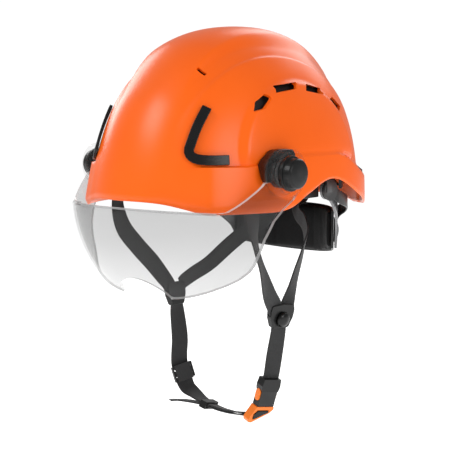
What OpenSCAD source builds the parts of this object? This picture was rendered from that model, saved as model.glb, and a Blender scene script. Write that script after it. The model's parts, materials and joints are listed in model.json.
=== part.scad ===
// Climbing-style safety helmet with a flip-up clear visor, a ratchet nape cradle and a
// four-point chin strap. Millimetres. +Z is up, the front is -Y and the wearer's left is +X.
// The origin is the middle of the head opening, at the level of the brow.

/* [Shell] */
// Half width of the dome at its foot
dome_half_w = 103.7; // [98:0.1:108]
// Length of the dome forward of the widest place
dome_front = 152.4; // [148:0.1:156]
// Length of the dome behind the widest place
dome_rear = 126.1; // [122:0.1:130]
// Height of the dome above the origin
dome_h = 157; // [152:0.5:164]
// Shell wall
shell_wall = 3; // [2.4:0.1:3.6]
// Thickness of the foam liner
liner_t = 14; // [10:1:16]
/* [Visor] */
// Height of the visor hinge above the origin
hinge_z = 29; // [28:0.5:30]
// Place of the visor hinge along Y
hinge_y = -72; // [-73:0.5:-71]
// Lens wall
lens_wall = 2.2; // [1.8:0.1:2.6]
/* [Webbing] */
// Width of the chin webbing
web_w = 18; // [15:1:20]
// Thickness of the chin webbing
web_t = 1.4; // [1:0.1:1.6]
/* [Cradle] */
// Teeth on the ratchet pinion
pinion_teeth = 10; // [10:1:12]
// Gear module of the pinion and its two racks
rack_module = 1.5; // [1.4:0.1:1.5]

/* [Hidden] */
$fn = 48;
plan_power = 2.153;   // fullness of the plan outline
rise_power = 2.266;   // fullness of the dome's profile
ease = 0.6;           // gap between the shell and the clips on it

// ---------- small maths ----------
function clamp01(x) = min(max(x, 0), 1);
function smooth(a, b, x) = let(u = clamp01((x - a) / (b - a))) u * u * (3 - 2 * u);
function mix(a, b, u) = a + (b - a) * u;
function unit(v) = v / norm(v);
function tangent(c, i) = unit(c[min(i + 1, len(c) - 1)] - c[max(i - 1, 0)]);
function catmull(a, b, c, d, u) =
    0.5 * (2 * b + (c - a) * u + (2 * a - 5 * b + 4 * c - d) * u * u + (3 * b - a - 3 * c + d) * u * u * u);
// A smooth curve through hand-set points, cut into `cuts` steps between neighbours
function curve(p, cuts) = [
    for (i = [0:len(p) - 2], k = [0:cuts - 1])
        catmull(p[max(i - 1, 0)], p[i], p[i + 1], p[min(i + 2, len(p) - 1)], k / cuts),
    p[len(p) - 1]];

// ---------- solids from rings of points ----------
function ring_sides(k, n) = [
    for (i = [0:n - 2], j = [0:k - 1])
        let(a = i * k + j, b = i * k + (j + 1) % k, c = b + k, d = a + k)
        each [[a, c, b], [a, d, c]]];
// Closes the two end rings by joining each point to its partner across a thin section
function strip_caps(k, n) = [
    for (j = [0:k / 2 - 2])
        let(a = j, b = j + 1, c = k - 2 - j, d = k - 1 - j, e = (n - 1) * k)
        each [[a, b, c], [a, c, d], [e + a, e + c, e + b], [e + a, e + d, e + c]]];
function middle(ring) = [for (axis = [0:2]) [for (p = ring) p[axis]] * [for (p = ring) 1] / len(ring)];
module strip_solid(rings)
    polyhedron([for (r = rings) each r],
        concat(ring_sides(len(rings[0]), len(rings)), strip_caps(len(rings[0]), len(rings))), convexity = 6);
module domed_solid(rings) {
    k = len(rings[0]);
    n = len(rings);
    caps = [for (j = [0:k - 1]) let(b = (j + 1) % k) each [
        [n * k, j, b], [n * k + 1, (n - 1) * k + b, (n - 1) * k + j]]];
    polyhedron([for (r = rings) each r, middle(rings[0]), middle(rings[n - 1])],
        concat(ring_sides(k, n), caps), convexity = 6);
}
function band_ring(c, n, i, w, t) =
    let(along = tangent(c, i), side = unit(cross(n[i], along)), face = unit(cross(along, side)))
    [c[i] + side * w / 2 + face * t / 2, c[i] - side * w / 2 + face * t / 2,
     c[i] - side * w / 2 - face * t / 2, c[i] + side * w / 2 - face * t / 2];
// A flat band of width w and thickness t along points c, its face turned to the normals n
module band(c, n, w = web_w, t = web_t)
    strip_solid([for (i = [0:len(c) - 1]) band_ring(c, n, i, w, t)]);
// Children drawn along +X, wide in Y and facing +Z are set at p, along a and facing n
module framed(p, a, n) {
    x = unit(a);
    z = unit(n - (n * x) * x);
    y = cross(z, x);
    multmatrix([[x.x, y.x, z.x, p.x], [x.y, y.y, z.y, p.y], [x.z, y.z, z.z, p.z], [0, 0, 0, 1]]) children();
}
module both_sides() { children(); mirror([1, 0, 0]) children(); }

// ---------- the dome ----------
function plan_r(t) = pow(
    pow(abs(cos(t)) / dome_half_w, plan_power) +
    pow(abs(sin(t)) / (sin(t) < 0 ? dome_front : dome_rear), plan_power), -1 / plan_power);
function level(z) = pow(1 - pow(max(z, 0) / dome_h, rise_power), 1 / rise_power);
function base(t, z) = plan_r(t) * level(z) * [cos(t), sin(t), 0] + [0, 0, z];
function facing(p) =
    let(b = p.y < 0 ? dome_front : dome_rear,
        q = pow(abs(p.x) / dome_half_w, plan_power) + pow(abs(p.y) / b, plan_power),
        f = pow(q, rise_power / plan_power - 1))
    unit([sign(p.x) * f * pow(abs(p.x) / dome_half_w, plan_power - 1) / dome_half_w,
          sign(p.y) * f * pow(abs(p.y) / b, plan_power - 1) / b,
          pow(max(p.z, 0) / dome_h, rise_power - 1) / dome_h]);
// Lower edge of the shell: a lifted arch over each ear and lower corners at the nape
function rim_z(t) = let(s = sin(t))
    -6 + 10 * smooth(0.86, 1, -s) + 26 * exp(-pow((s - 0.05) / 0.42, 2)) * smooth(-0.62, -0.3, s)
    - 6 * smooth(0.55, 0.8, s) + 6 * smooth(0.9, 1, s);
// Height of the ledge at the top of the skirt
function ledge_z(t) = mix(34, 42, smooth(-0.75, -0.3, sin(t))) - 12 * smooth(0.2, 0.75, sin(t));
crest_half_w = 36;    // raised band along the crown
ear_y = -18;          // middle of the ear bulge
ear_z = 37;
ear_r = 65;
panel_y = -22;        // middle of the large side panel
panel_z = 6;
panel_r = 126;
// Raised shapes on the dome, as a height along its normal
function relief(p, t) =
    let(x = abs(p.x), s = sin(t), rear = smooth(0, 0.6, s),
        ear = norm([(p.y - ear_y) * (p.y < ear_y ? 0.94 : 1), p.z - ear_z]),
        panel = norm([p.y - panel_y, p.z - panel_z]), slope = mix(6, 20, smooth(-110, 20, p.y)),
        crest = 5 * (1 - smooth(crest_half_w, crest_half_w + slope, x))
            * smooth(-122, -72, p.y) * (1 - smooth(78, 82, p.y)) * smooth(60, 100, p.z),
        side = 1.8 * (1 - smooth(panel_r - 2.5, panel_r + 0.5, panel)) * smooth(40, 56, x),
        bulge = 4.5 * (1 - smooth(ear_r + 0.8, ear_r + 8.6, ear)) * smooth(30, 60, x) * smooth(20, 50, p.z),
        above = p.z - ledge_z(t),
        ledge = (4.5 + 3 * rear) * (1 - smooth(-0.8 - 13 * smooth(0.15, 0.7, s), 0.8, above))
            * smooth(-0.93, -0.86, s),
        flare = (mix(3.5, 8, smooth(0.5, 0.95, -s)) - 2.7 * rear) * pow(clamp01(1 - p.z / 85), 2))
    crest + side + max(bulge * smooth(-1, 1, above), 0) + ledge + flare;
function skin(t, z, lift) = let(p = base(t, z)) p + facing(p) * (relief(p, t) + lift);
function bare(t, z, lift) = let(p = base(t, z)) p + facing(p) * lift;

// ---------- shell and liner ----------
lower_rows = [0, 0.15, 0.35, 0.6, 0.8, 0.92, 1];
upper_rows = 21;
function upper_z(z0, k) = let(w0 = asin(pow(z0 / dome_h, rise_power / 2)))
    dome_h * pow(sin(mix(w0, 87, pow(k / upper_rows, 0.9))), 2 / rise_power);
function row_z(t, j) = let(l = ledge_z(t), low = rim_z(t)) j < len(lower_rows)
    ? mix(low, l - 0.8, lower_rows[j]) : upper_z(l + 0.8, j - len(lower_rows));
turns = 112;
function shell_ring(j, lift) = [for (k = [0:turns - 1]) let(t = 360 * k / turns) skin(t, row_z(t, j), lift)];
inner_rows = [28, 25, 22, 19, 16, 13, 10, 8, 7, 6, 3, 0];
// Slots beside the ear bulge, as (y, z) outlines seen from the side
side_vents = [
    [[-77, 81.6], [-71, 90], [-59.6, 97.4], [-56, 93.2], [-66.4, 84.2]],
    [[-50, 98], [-46.6, 104.6], [-18.6, 108.4], [-23.4, 101.8]],
    [[-11.4, 100.2], [-7.6, 106.6], [20.6, 103], [13.8, 96.8]],
    [[30.6, 92.6], [38.4, 95], [53.6, 85.8], [44.6, 80.6]]];
// A slot through the shell from a to b, w wide
module slot_cut(a, b, w) {
    n = facing((a + b) / 2);
    f = unit(cross(n, b - a)) * w / 2;
    strip_solid([for (s = [8, -11]) [a + f + n * s, b + f + n * s, b - f + n * s, a - f + n * s]]);
}
module small_vents() {
    slot_cut([37.4, -98.8, 119.6], [45.4, -96, 114.4], 3.2);
    for (x = [6, 26]) slot_cut([x, 93, 104], [x + 13, 92, 103], 3.4);
}
module shell() color("darkorange") difference() {
    rows = len(lower_rows) + upper_rows;
    domed_solid([for (j = inner_rows) shell_ring(j, -shell_wall), for (j = [0:rows]) shell_ring(j, 0)]);
    both_sides() for (v = side_vents) rotate([90, 0, 90]) translate([0, 0, 40]) linear_extrude(80) polygon(v);
    both_sides() small_vents();
}
liner_foot = 26;
liner_lift = -5.4;
function liner_ring(k, lift) = [for (i = [0:43]) let(t = 360 * i / 44)
    bare(t, upper_z_of(liner_foot, k / 9), lift)];
function upper_z_of(z0, u) = let(w0 = asin(pow(z0 / dome_h, rise_power / 2)))
    dome_h * pow(sin(mix(w0, 86, u)), 2 / rise_power);
module liner() color([0.12, 0.12, 0.13])
    domed_solid([for (k = [9:-1:0]) liner_ring(k, liner_lift - liner_t), for (k = [0:9]) liner_ring(k, liner_lift)]);
// A thin curved plate that follows the dome between two lifts, t0..t1 round and z0..z1 up
module plate(t0, t1, z0, z1, low, high, around = 8, up = 5)
    strip_solid([for (i = [0:around]) let(t = mix(t0, t1, i / around)) concat(
        [for (j = [0:up]) bare(t, mix(z0, z1, j / up), low)],
        [for (j = [up:-1:0]) bare(t, mix(z0, z1, j / up), high)])]);
module vent_mesh() color([0.08, 0.08, 0.09]) plate(-48, 34, 66, 112, -5, -4.3, 12, 6);

// ---------- headlamp clips ----------
clip_w = 8.6;
clip_t = 3;
module surface_bar(path, w = clip_w, t = clip_t) {
    c = [for (p = curve(path, 3)) skin(p[0], p[1], ease + t / 2)];
    n = [for (p = curve(path, 3)) facing(base(p[0], p[1]))];
    band(c, n, w, t);
}
front_clip_path = [[-62, 84], [-64.6, 69], [-66.2, 55], [-66.8, 46.5], [-64.8, 41.2], [-60.3, 39.6], [-53.4, 39.8]];
rear_clip_path = [[62, 72], [62.5, 60], [63, 47], [63.5, 35]];
module lamp_clip_front() color([0.1, 0.1, 0.1]) surface_bar(front_clip_path);
// Distance from the crown's axis to the outside of the shell at height z
function skin_r(t, z) = let(p = skin(t, z, 0)) norm([p.x, p.y]);
function at_r(t, r, z) = [r * cos(t), r * sin(t), z];
module lamp_clip_rear() color([0.1, 0.1, 0.1]) {
    surface_bar(rear_clip_path);
    edge = skin_r(62, 12) + 0.4;
    strip_solid([for (t = [66.5, 63.5, 60.5, 57.5]) [
        at_r(t, skin_r(t, 34) + 0.9, 34), at_r(t, skin_r(t, 28) + 0.9, 28), at_r(t, skin_r(t, 22) + 0.8, 22),
        at_r(t, skin_r(t, 14) + 0.8, 14), at_r(t, edge + 1.4, 14), at_r(t, edge + 1.4, 22),
        at_r(t, skin_r(t, 34) + 4.6, 28), at_r(t, skin_r(t, 34) + 3.6, 34)]]);
}

// ---------- visor ----------
lens_y = -36;          // axis that the lens surface turns about
lens_z = 5;
lens_reach = 128;
lens_half_w = 121;
lens_power = 2.5;
hub_r = 21;
web_x = 117;           // inner face of the hub's web
web_plate = 2.6;
shoulder_r = 6;
stud_r = 2.5;
running = 0.06;
function lens_r(x) = lens_reach * pow(1 - pow(abs(x) / lens_half_w, lens_power), 1 / lens_power);
lens_side = 120.6;
lens_cuts = 26;
function lens_x(k) = lens_side * sin(90 * k / lens_cuts);
function lens_profile(inset) = [for (k = [-lens_cuts:lens_cuts]) let(x = lens_x(k) * (1 - inset / lens_half_w))
    [max(lens_r(lens_x(k)) - inset, 1), x]];
module lens_sheet() translate([0, lens_y, lens_z]) rotate([0, 90, 0])
    rotate_extrude($fn = 96) polygon(concat(lens_profile(0), [for (k = [len(lens_profile(0)) - 1:-1:0])
        lens_profile(lens_wall)[k]]));
// Side outline of the lens, as (y, z)
lens_outline = [[-72, 50], [-84, 46], [-91, 38], [-93, 30], [-93.6, 23], [-97.5, 18.6], [-102.7, 14.4], [-113, 6.6],
    [-120, 1.4], [-126, -2.6], [-134, -3.6], [-143, -2.8], [-161, -1.4], [-175, -1], [-175, -86.5], [-128, -86.5],
    [-124.5, -83], [-120.5, -77.8], [-114.8, -71.9], [-103.7, -62.7], [-98.6, -56], [-96.6, -50], [-95.4, -40.5],
    [-92.6, -27.4], [-85.6, -12.1], [-76, -2], [-64, 6], [-54, 17], [-51, 28], [-54, 40], [-62, 48]];
module side_cut(outline, half = 130) rotate([90, 0, 90]) translate([0, 0, -half])
    linear_extrude(2 * half) polygon(outline);
// Plan outline of the lens edge, drawn inwards by dr in reach and dx in width
function lens_plan(dr, dx) = [for (k = [-20:20]) let(a = 90 * k / 20, x = (lens_half_w - dx) * sin(a))
    [x, lens_y - (lens_reach - dr) * pow(1 - pow(abs(sin(a)), lens_power), 1 / lens_power)]];
module top_flange() translate([0, -163, -3.2]) rotate([-4, 0, 0]) translate([0, 163, 0]) intersection() {
    linear_extrude(2) polygon(concat(lens_plan(0.4, 0.4), [for (k = [40:-1:0]) lens_plan(3.4, 12)[k]]));
    translate([-98, -200, -10]) cube([196, 200 - 127, 20]);
}
module nose_notch() translate([0, -60, -88]) rotate([90, 0, 0]) linear_extrude(120)
    polygon([for (a = [0:12:180]) [26 * cos(a) * (1 + 0.2 * pow(cos(a), 2)), 21.5 * pow(sin(a), 0.8)]]);
module across(x0, x1) translate([x0, hinge_y, hinge_z]) rotate([0, 90, 0]) linear_extrude(x1 - x0) children();
module visor_lens() color([0.8, 0.8, 0.8, 0.4]) difference() {
    union() {
        difference() {
            intersection() { lens_sheet(); side_cut(lens_outline); }
            both_sides() across(100, 130) circle(hub_r - 2);
            nose_notch();
        }
        top_flange();
        both_sides() across(114.4, 123) difference() { circle(hub_r); circle(hub_r - 2.6); }
        both_sides() intersection() {
            across(109.5, 120) difference() { circle(hub_r); circle(hub_r - 2.6); }
            translate([100, -100, 0]) cube([30, 20, 60]);
        }
        both_sides() across(web_x, web_x + web_plate) circle(hub_r - 1);
    }
    both_sides() across(100, 130) circle(shoulder_r + running);
}
bracket_x = 108.8;     // outer face of the bracket's body
boss_x = 113.6;        // outer face of its round boss
bracket_outline = [[-49, 21], [-48, 23], [-48, 45], [-51, 48.6], [-60, 49.4], [-72, 49.2], [-77, 47.6], [-80.6, 44.4],
    [-85, 41], [-88.2, 36], [-89.5, 30], [-89, 25], [-87.5, 21]];
function side_x(y, z) = dome_half_w * pow(max(pow(1 - pow(z / dome_h, rise_power), plan_power / rise_power)
    - pow(abs(y) / dome_front, plan_power), 0.01), 1 / plan_power);
function shell_x(y, z) = let(x = side_x(y, z), p = [x, y, z], t = atan2(y, x))
    x + relief([x, y, z], t) / max(facing(p).x, 0.3) + 0.6;
module visor_bracket() color([0.13, 0.13, 0.13]) {
    foot = [for (p = bracket_outline) let(y = p.x < -60 ? -60 + (p.x + 60) * 0.875 : p.x)
        [shell_x(y, p.y) + 1.2, y, p.y]];
    core = [for (p = bracket_outline) let(y = mix(p.x, -66, 0.5), z = mix(p.y, 34, 0.5)) [shell_x(y, z) + 1.2, y, z]];
    domed_solid([core, foot, [for (p = bracket_outline) [bracket_x - 1, p.x, p.y]],
        [for (p = bracket_outline) [bracket_x, mix(p.x, -68, 0.04), mix(p.y, 33, 0.04)]]]);
    across(bracket_x - 1, boss_x) circle(13);
}
module pivot_bolt() color("silver") {
    across(boss_x + 0.05, web_x + web_plate + 0.6) circle(shoulder_r);
    across(web_x + web_plate + 0.5, 130) circle(stud_r);
}
module friction_washer() color([0.05, 0.05, 0.05])
    across(boss_x + 0.1, web_x - 0.1) difference() { circle(12.4); circle(shoulder_r + 0.3); }
module visor_knob() color([0.15, 0.15, 0.15]) translate([web_x + web_plate + 1, hinge_y, hinge_z])
    rotate([0, 90, 0]) rotate_extrude() polygon([[stud_r + running, 0], [15.5, 0], [15.5, 3.2], [13.2, 3.4],
        [13.2, 9.4], [11.8, 11], [6, 11.6], [0, 11.7], [0, 10.4], [stud_r + running, 10.4]]);

// ---------- head suspension ----------
crown_path = [[85.4, -48, 10], [78.8, -45.1, 20.6], [72.4, -42, 31], [70.6, -41.2, 42], [64.4, -37.6, 60], [50, -30, 87], [29, -18.4, 106],
    [12, -9, 114], [0, -2, 115.6], [-12, 6, 114], [-29, 16.6, 106], [-50, 30.4, 87], [-63.4, 39.8, 60],
    [-69, 43, 42], [-71, 44.2, 31], [-76.2, 47.6, 20.6], [-84, 52, 10]];
function outward(c) = [for (p = c) unit([p.x, p.y, max(p.z - 20, 0) * 0.9])];
module crown_strap(lift) color([0.1, 0.1, 0.1]) {
    c = curve([for (p = crown_path) p + [0, 0, lift * smooth(60, 110, p.z)]], 2);
    band(c, outward(c), 20, 1.2);
}
module crown_anchors() color([0.2, 0.2, 0.2]) both_sides() {
    translate([87.3, -49.1, 15]) rotate([0, 0, -29.4]) cube([3, 24, 14], center = true);
    translate([85.9, 53.2, 15]) rotate([0, 0, 31.8]) cube([3, 24, 14], center = true);
}
// Head-shaped plan curve of half width a and half length b about (0, head_y)
head_y = -4;
function head_at(t, a, b, z, power = 2.3) =
    let(r = pow(pow(abs(cos(t)) / a, power) + pow(abs(sin(t)) / b, power), -1 / power))
    [r * cos(t), head_y + r * sin(t), z];
module head_band(t0, t1, a, b, thick, steps, low, high, power = 2.3)
    strip_solid([for (k = [0:steps]) let(t = mix(t0, t1, k / steps), s = k / steps) [
        head_at(t, a, b, high(s), power), head_at(t, a + thick, b + thick, high(s), power),
        head_at(t, a + thick, b + thick, low(s), power), head_at(t, a, b, low(s), power)]]);
module headband() color([0.16, 0.16, 0.16])
    head_band(-202, 22, 79, 99, 1.8, 40, function(s) 0, function(s) 22 - 8 * pow(2 * s - 1, 4));
module sweatband() color([0.05, 0.05, 0.05])
    head_band(-160, -20, 74.6, 94.6, 4, 24, function(s) 0.6, function(s) 21 - 5 * pow(2 * s - 1, 4));

// ---------- nape cradle ----------
tilt_y = 20;
tilt_z = 8;
module cross_pin(x0, x1, r) translate([x0, tilt_y, tilt_z]) rotate([0, 90, 0]) cylinder(r = r, h = x1 - x0);
module hanger_plug() color([0.2, 0.2, 0.2]) {
    cross_pin(88, 97, 4);
    cross_pin(96.5, 98.6, 10);
    plate(7, 15, 6, 40, -5.2, -3.9, 4, 4);
}
arm_path = [[92.9, 25, 4], [90, 36, -4], [83, 50, -14], [74, 63, -26], [67, 73, -39], [63.4, 76.8, -54]];
arm_face = [[1, 0.1, 0], [0.95, 0.25, 0.1], [0.9, 0.4, 0.1], [0.85, 0.5, 0.1], [0.8, 0.6, 0], [0.8, 0.6, 0]];
module hanger_arm() color([0.35, 0.35, 0.36]) difference() {
    union() {
        cross_pin(91.6, 94.2, 9);
        strip_solid([for (i = [0:15]) band_ring(curve(arm_path, 3), curve(arm_face, 3), i,
            9 + 4 * smooth(0, 6, i) - 5 * smooth(7, 15, i), 2.4)]);
    }
    cross_pin(90, 96, 4 + running);
}
link_path = [[94.9, 27.4, 6.4], [94.6, 38, 0.5], [89.6, 56, -4.5], [79.4, 72.6, -8.6], [71, 79.6, -13.6], [63.6, 80.6, -18.6],
    [58.4, 84.2, -23]];
link_face = [[1, 0.05, 0], [1, 0.1, 0], [0.9, 0.4, 0], [0.7, 0.7, 0], [0.6, 0.8, 0], [0.6, 0.8, 0], [0.6, 0.8, 0]];
module cradle_link() color([0.08, 0.08, 0.08]) band(curve(link_path, 3), curve(link_face, 3), 12, 1.6);
cradle_a = 76;
cradle_b = 104;
cradle_power = 2.7;
function cradle_low(s) = -64.5 + 9.5 * pow(abs(2 * s - 1), 2.5);
function cradle_high(s) = -14 - 3 * pow(abs(2 * s - 1), 2);
module nape_band() color([0.09, 0.09, 0.09])
    head_band(49, 131, cradle_a, cradle_b, 2, 36, function(s) cradle_low(s), function(s) cradle_high(s), cradle_power);
module nape_pad() color([0.03, 0.03, 0.03])
    head_band(50.5, 129.5, cradle_a - 5.4, cradle_b - 5.4, 5, 30, function(s) cradle_low(s) + 1,
        function(s) cradle_high(s) - 1, cradle_power);

// ---------- ratchet ----------
ratchet_z = -42;
back_y = head_y + cradle_b + 2;      // outer face of the nape band at the middle
rack_y = back_y + 4;                 // middle plane of the racks and pinion
pitch_r = pinion_teeth * rack_module / 2;
rack_thick = 3;
flank = 30;                          // pressure angle of rack and pinion
tooth_slack = 0.5;
module facing_back(y, h) translate([0, y, ratchet_z]) rotate([-90, 0, 0]) linear_extrude(h) children();
function involute(r, a) = r * [cos(a) + a * PI / 180 * sin(a), sin(a) - a * PI / 180 * cos(a)];
base_r = pitch_r * cos(flank);
tip_r = pitch_r + 0.8 * rack_module;
root_r = pitch_r - 1.1 * rack_module;
function roll(r) = sqrt(max(pow(r / base_r, 2) - 1, 0)) * 180 / PI;
function half_tooth(r) = let(q = roll(r), e = roll(pitch_r))
    (PI / 2 * rack_module - tooth_slack) / 2 / pitch_r * 180 / PI + (e - atan(e * PI / 180)) - (q - atan(q * PI / 180));
module pinion_shape() {
    steps = 5;
    circle(root_r);
    for (k = [0:pinion_teeth - 1]) rotate(90 + 360 * k / pinion_teeth) polygon(concat(
        [[root_r - 0.4, -1.2], for (i = [0:steps]) let(r = mix(max(base_r, root_r), tip_r, i / steps))
            r * [cos(half_tooth(r)), -sin(half_tooth(r))]],
        [for (i = [steps:-1:0]) let(r = mix(max(base_r, root_r), tip_r, i / steps))
            r * [cos(half_tooth(r)), sin(half_tooth(r))], [root_r - 0.4, 1.2]]));
}
module rack_shape() {
    pitch = PI * rack_module;
    reach = 0.8 * rack_module;
    sink = 1.1 * rack_module;
    half = (pitch / 2 - tooth_slack) / 2;
    translate([-24, pitch_r + sink]) square([60, 3.4]);
    for (k = [-5:4]) translate([(k + 0.5) * pitch, pitch_r]) polygon([
        [-half - sink * tan(flank), sink + 0.1], [-half + reach * tan(flank), -reach],
        [half - reach * tan(flank), -reach], [half + sink * tan(flank), sink + 0.1]]);
}
module rack(turn) color([0.18, 0.18, 0.18])
    facing_back(rack_y - rack_thick / 2, rack_thick) rotate(turn) rack_shape();
module oval(w, h) {
    square([w - h, h], center = true);
    for (s = [-1, 1]) translate([s * (w - h) / 2, 0]) circle(d = h);
}
module ratchet_housing() color([0.1, 0.1, 0.1]) difference() {
    facing_back(back_y + 0.1, 8) oval(84, 36);
    facing_back(back_y + 2, 20) square([100, 27], center = true);
    facing_back(back_y - 1, 20) circle(1.5);
}
module ratchet_cover() color([0.14, 0.14, 0.14]) difference() {
    facing_back(back_y + 8.2, 2.4) oval(84, 36);
    facing_back(back_y, 20) circle(5.2);
}
module ratchet_axle() color("silver") facing_back(back_y + 0.4, 18.6) circle(1.4);
module ratchet_pinion() color([0.75, 0.75, 0.75]) difference() {
    union() {
        facing_back(rack_y - 1.6, 3.2) pinion_shape();
        facing_back(rack_y + 1.5, 6.4) circle(4.6);
    }
    facing_back(back_y, 30) circle(1.4 + running);
}
module ratchet_wheel() color([0.12, 0.12, 0.12]) difference() {
    facing_back(back_y + 11, 9) difference() {
        circle(18);
        for (k = [0:23]) rotate(15 * k) translate([18.6, 0]) circle(1.5, $fn = 16);
    }
    facing_back(back_y + 10, 8) circle(4.6 + running);
    facing_back(back_y, 30) circle(1.4 + running);
}

// ---------- chin harness ----------
function turned(list) = [for (v = list) [cos(v), sin(v), 0]];
front_path = [[81.5, -76, 22], [82, -76.5, 5], [81.6, -75.5, -10], [79, -67, -37], [74.6, -54, -58], [69, -36, -86],
    [66.4, -25.4, -98.6], [65.9, -21.6, -104]];
front_turn = [-16, -14, -6, 30, 34, 2, -9, -9];
front_path_right = [[-81.5, -76, 22], [-82.2, -80, 5], [-82.4, -83.4, -10], [-80.6, -77.6, -32], [-77.4, -62.6, -51],
    [-73.6, -46, -69], [-68.8, -36, -83.4], [-65.4, -31, -91.6], [-65, -28.8, -96]];
front_turn_right = [196, 194, 190, 176, 172, 172, 182, 189, 189];
rear_path = [[9, 117, 16], [9, 108, 6], [8, 97, -6], [7, 88, -16], [14, 79, -24], [30, 68, -31], [44, 54, -42],
    [54, 35, -56], [61, 16, -74], [66, 3, -88], [67.5, -4.4, -98], [66.5, -7, -104]];
rear_turn = [[0, -0.7, 0.7], [0, -0.8, 0.6], [0, -1, 0.4], [-0.1, -1, 0.1], [-0.4, -0.9, 0], [-0.5, -0.85, 0],
    [-0.5, -0.87, 0], [-0.755, -0.656, 0], [-0.91, -0.41, 0], [-0.99, -0.14, 0], [-0.988, 0.156, 0],
    [-0.988, 0.156, 0]];
rear_path_right = [[-10, 117, 16], [-10, 108, 4], [-12.4, 97, -7], [-19, 85.6, -22], [-32.4, 77.6, -34],
    [-43.6, 65.6, -45], [-54, 49, -60], [-62, 28, -77], [-66.8, 8, -86.6], [-68.2, -5, -92.6], [-67.3, -11, -95.8]];
rear_turn_right = [[0, -0.7, 0.7], [0, -0.8, 0.6], [0.1, -1, 0.3], [0.3, -0.95, 0], [0.45, -0.9, 0],
    [0.6, -0.8, 0], [0.75, -0.65, 0], [0.88, -0.4, 0], [0.97, -0.1, 0], [0.988, 0.1, 0], [0.988, 0.156, 0]];
module front_strap() color([0.15, 0.15, 0.15]) band(curve(front_path, 3), curve(turned(front_turn), 3));
module front_strap_right() color([0.15, 0.15, 0.15])
    band(curve(front_path_right, 3), curve(turned(front_turn_right), 3));
module rear_strap() color([0.15, 0.15, 0.15]) band(curve(rear_path, 3), curve(rear_turn, 3), web_w - 2);
module rear_strap_right() color([0.15, 0.15, 0.15])
    band(curve(rear_path_right, 3), curve(rear_turn_right, 3), web_w - 2);
module strap_anchors() color([0.2, 0.2, 0.2]) {
    both_sides() plate(-47, -38, 10, 36, -5, -3.9, 4, 3);
    plate(81, 99, 6, 24, -5, -3.9, 4, 3);
}
divider_at = [65.4, -14, -109];
divider_down = [-0.16, -0.02, -0.987];
divider_face = [0.988, -0.156, 0];
module divider() color([0.1, 0.1, 0.1]) framed(divider_at, divider_down, divider_face) difference() {
    translate([0, 0, -3]) linear_extrude(6.4)
        polygon([[-9, -13.5], [-4, -14.8], [3, -14], [12, -10], [13, -8], [13, 8], [12, 10], [3, 14], [-4, 14.8],
            [-9, 13.5], [-10.5, 0]]);
    translate([-20, -20, -2.2]) cube([21, 40, 4.4]);
    translate([9, -9.4, -1.2]) cube([20, 18.8, 2.4]);
    translate([4, 0, 2.6]) cylinder(r = 7.4, h = 4);
}
divider_shift = [0.4, -7, 7.6]; // the right divider sits higher and further forward
module divider_button() color([0.17, 0.17, 0.17]) framed(divider_at, divider_down, divider_face)
    translate([4, 0, 4.2]) rotate_extrude()
        polygon([[0, 0], [7, 0], [7, 1.4], [6.4, 2.8], [4.6, 4], [2.4, 4.6], [0, 4.8]]);
left_path = [[63.8, -14.2, -119.2], [63.2, -14.6, -127.5], [60.2, -16, -149], [57.7, -17.2, -167.9], [55.7, -18, -176]];
module lower_strap_left() color([0.15, 0.15, 0.15]) band(curve(left_path, 4), curve(turned([-9, -12, -18, -16, -16]), 4));
right_path = [[-63.4, -21.2, -111.6], [-62.8, -20.6, -122], [-60.6, -19.4, -148], [-60, -21, -166],
    [-59.4, -21.2, -174.9], [-58.2, -20.5, -179.3]];
module lower_strap_right() color([0.15, 0.15, 0.15])
    band(curve(right_path, 3), curve([each turned([-171, -184, -198, -198]), lock_out, lock_out], 3));
lock_at = [-54.7, -20.8, -183];
lock_down = [0.265, 0.138, -0.954];
lock_face = [-0.95, 0.31, 0];
lock_out = [-0.916, 0.347, -0.204];
module ladder_lock() color([0.1, 0.1, 0.1]) framed(lock_at, lock_down, lock_face) difference() {
    translate([-8, -11.4, -1.7]) cube([16, 22.8, 3.4]);
    for (s = [-1, 1]) translate([s * 4 - 1.3, -9.5, -5]) cube([2.6, 19, 10]);
}
chin_path = [[-55.8, -19.3, -187.7], [-54.8, -18.6, -192.4], [-50.6, -18.2, -199], [-42, -16.6, -204.2], [-34, -15.4, -208.6],
    [-25, -14.4, -211.8], [-14, -13.4, -213.9], [-4, -13.5, -214.6], [8, -14.2, -214.4], [18, -15.4, -213.2],
    [29, -18.4, -210.4], [36, -21.6, -208]];
chin_face = [lock_out, lock_out, [-0.86, 0.2, -0.47], [-0.7, 0, -0.7], [-0.5, -0.15, -0.85], [-0.3, -0.25, -0.92],
    [-0.14, -0.3, -0.94], [0, -0.3, -0.95], [0.08, -0.3, -0.94], [0.14, -0.3, -0.94], [0.25, -0.28, -0.92],
    [0.35, -0.25, -0.9]];
module chin_strap() color([0.15, 0.15, 0.15]) band(curve(chin_path, 2), curve(chin_face, 2));
function below(k, gap) = chin_path[k] + unit(chin_face[k]) * gap;
tail_path = [below(10, 2.2), below(9, 2), below(8, 2), below(7, 2), below(6, 2), below(5, 2), [-34, -17.4, -212.6],
    [-44, -24, -210.8], [-52, -32, -209.6], [-57, -38, -209.4]];
tail_face = [chin_face[10], chin_face[9], chin_face[8], chin_face[7], chin_face[6], chin_face[5],
    [-0.2, -0.3, -0.95], [-0.12, -0.3, -0.95], [0, -0.3, -0.95], [0, -0.3, -0.95]];
module strap_tail() color([0.15, 0.15, 0.15]) band(curve(tail_path, 2), curve(tail_face, 2));
module keeper() color([0.08, 0.08, 0.08]) framed(below(5, 1), chin_path[6] - chin_path[4], chin_face[5])
    difference() { cube([8, 22.4, 7.6], center = true); cube([12, 19.6, 4.8], center = true); }

// ---------- buckle ----------
buckle_top = [56.8, -17.6, -171.4];
buckle_down = [-0.25, -0.09, -0.964];
buckle_face = [1, -0.25, 0];
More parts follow.
